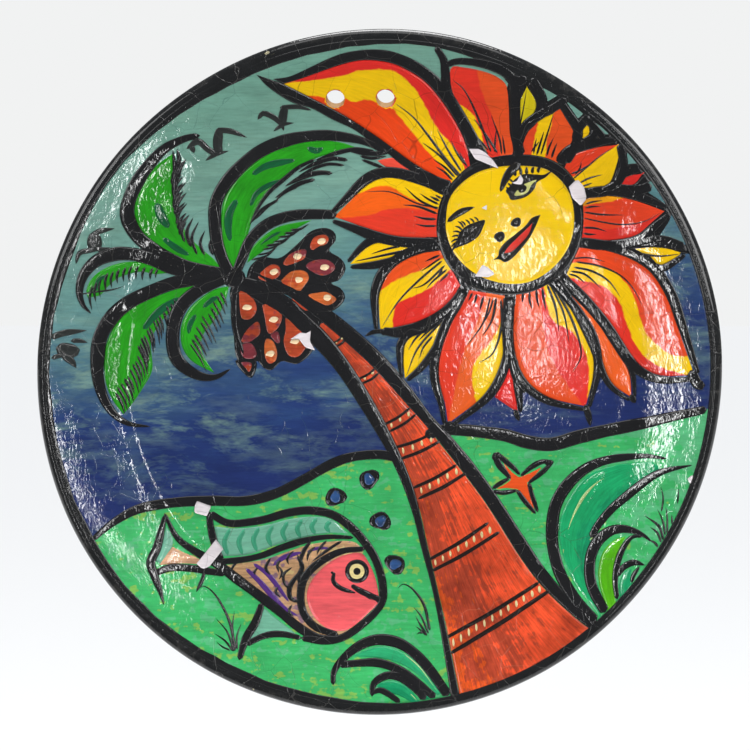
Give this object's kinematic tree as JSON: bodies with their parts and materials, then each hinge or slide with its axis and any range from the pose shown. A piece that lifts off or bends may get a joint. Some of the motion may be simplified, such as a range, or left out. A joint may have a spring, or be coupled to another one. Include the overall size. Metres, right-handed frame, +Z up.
{
  "type": "painted clay wall plate",
  "caption": "Round hand-made clay wall plate with a raised rim, two hanging holes, and a painted palm tree, sun face, sea and fish on its face.",
  "frame": {"origin": "centre of the flat back, on the wall plane", "axes": "+Z up as hung, +X to the viewer's right, +Y into the wall; the painted face looks toward -Y"},
  "size_m": [0.206, 0.015, 0.206],
  "materials": {
    "fired_clay": "matt fired clay",
    "chalk_ground": "matt chalky ground",
    "sea_blue": "gloss varnished paint, teal sky to deep blue sea",
    "meadow_green": "gloss varnished green paint",
    "black_paint": "gloss varnished black paint",
    "trunk_red": "gloss varnished red-brown paint",
    "leaf_green": "gloss varnished leaf green paint",
    "coconut_brown": "gloss varnished brown paint",
    "cream": "gloss varnished cream paint",
    "petal_orange": "gloss varnished orange paint",
    "petal_red": "gloss varnished red paint",
    "petal_yellow": "gloss varnished yellow paint",
    "coral": "gloss varnished coral paint",
    "tan": "gloss varnished tan paint",
    "teal": "gloss varnished teal paint",
    "purple": "gloss varnished purple paint",
    "wave_green": "gloss varnished deep green paint",
    "lime_green": "gloss varnished lime paint",
    "deep_blue": "gloss varnished blue paint"
  },
  "bodies": {
    "root": {"clay_plate": "fired_clay", "white_ground": "chalk_ground", "sky_and_sea": "sea_blue", "left_meadow": "meadow_green", "right_meadow": "meadow_green", "rim_band": "black_paint", "shore_lines": "black_paint", "palm_outline": "black_paint", "sun_outline": "black_paint", "fish_outline": "black_paint", "leaf_outlines": "black_paint", "birds": "black_paint", "bubble_rings": "black_paint", "starfish_outline": "black_paint", "grass": "black_paint", "trunk": "trunk_red", "trunk_bands": "black_paint", "frond_top_left": "leaf_green", "frond_top": "leaf_green", "frond_right": "leaf_green", "frond_left": "leaf_green", "frond_low_left": "leaf_green", "frond_hook": "leaf_green", "coconuts": "coconut_brown", "coconut_lights": "cream", "petal_top_left": "petal_orange", "petal_top": "petal_red", "petal_top_right": "petal_orange", "petal_upper_right": "petal_yellow", "petal_right": "petal_red", "petal_sweep": "petal_orange", "petal_slim": "petal_orange", "petal_low_right": "petal_red", "petal_bottom": "petal_red", "petal_low_left": "petal_yellow", "petal_left": "petal_orange", "small_petals": "petal_yellow", "sun_disc": "petal_yellow", "sun_face": "black_paint", "sun_mouth": "petal_red", "fish_head": "coral", "fish_body": "tan", "fish_fins": "teal", "fish_tail": "cream", "fish_eye": "cream", "fish_stripes": "purple", "wave_leaf": "wave_green", "lime_leaf": "lime_green", "bottom_leaves": "wave_green", "starfish": "petal_orange", "bubbles": "deep_blue"}
  },
  "joints": []
}
